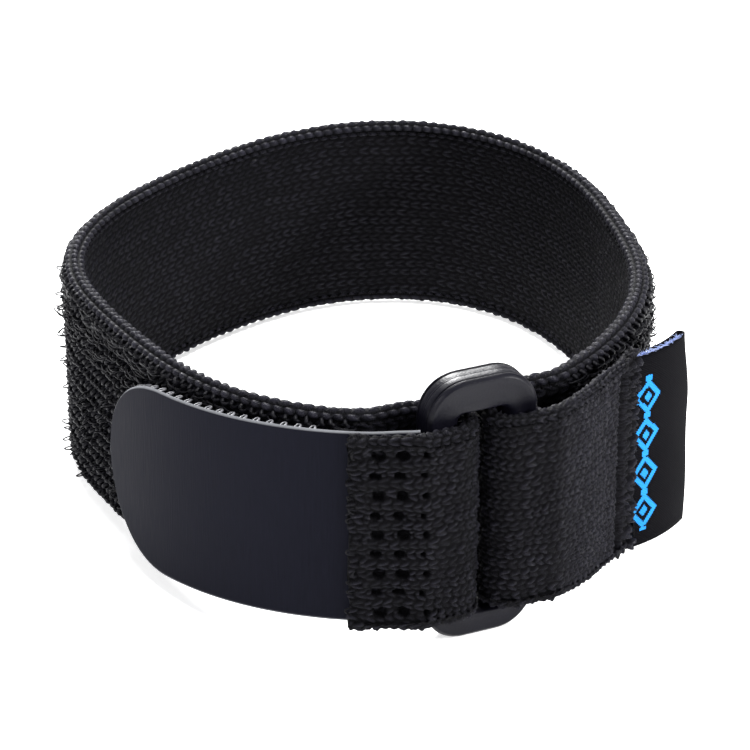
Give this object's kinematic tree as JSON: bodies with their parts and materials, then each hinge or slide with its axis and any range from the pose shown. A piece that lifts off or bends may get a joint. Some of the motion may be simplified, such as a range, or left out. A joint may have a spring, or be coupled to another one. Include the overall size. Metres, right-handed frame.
{
  "type": "elastic wrist strap",
  "caption": "Elastic hook-and-loop wrist strap closed through a plastic slide ring, with a peel-off hook tab and a folded side label.",
  "frame": {"origin": "middle of the bounding box's underside, on the ground the strap stands on", "axes": "+Z along the loop's axis; the ring faces -Y; +X to the right as seen from in front of the ring"},
  "size_m": [0.0704, 0.0856, 0.031],
  "materials": {
    "knit": "matte near-black elastic knit",
    "pile": "looped pile, matte black",
    "rubber": "covered rubber strand",
    "hook_tape": "brushed dark slate nylon tape",
    "ring_plastic": "satin moulded black plastic",
    "thread": "twisted sewing thread",
    "label": "black satin weave with a blue geometric motif"
  },
  "bodies": {
    "band": {"skin_knit": "knit", "face_knit": "knit", "loop_pile": "pile", "selvedge_top": "knit", "selvedge_bottom": "knit", "elastic_strand_1": "rubber", "elastic_strand_2": "rubber", "elastic_strand_3": "rubber", "elastic_strand_4": "rubber", "elastic_strand_5": "rubber", "elastic_strand_6": "rubber", "elastic_strand_7": "rubber", "elastic_strand_8": "rubber", "elastic_strand_9": "rubber", "anchor_fold": "knit", "anchor_flap": "knit", "anchor_seam_thread": "thread", "label_root": "label"},
    "ring": {"ring_buckle": "ring_plastic", "slider_fold": "knit"},
    "tail": {"tail_webbing": "knit", "hook_tape_root": "hook_tape", "tail_seam_thread": "thread"},
    "tab": {"hook_tab": "hook_tape"},
    "label": {"label": "label"}
  },
  "joints": [
    {"name": "ring_swivel", "type": "hinge", "parent": "band", "child": "ring", "pos_m": [-0.00112, -0.03869, 0], "axis": [0, 0, 1], "range_deg": [0, 12]},
    {"name": "tail_peel", "type": "hinge", "parent": "ring", "child": "tail", "pos_m": [-0.0129, -0.04283, 0], "axis": [0, 0, 1], "range_deg": [0, 120]},
    {"name": "tab_peel", "type": "hinge", "parent": "tail", "child": "tab", "pos_m": [-0.02051, -0.03727, 0], "axis": [0, 0, 1], "range_deg": [0, 60]},
    {"name": "label_flap", "type": "hinge", "parent": "band", "child": "label", "pos_m": [0.01559, -0.03331, 0], "axis": [0, 0, -1], "range_deg": [-8, 70]}
  ]
}
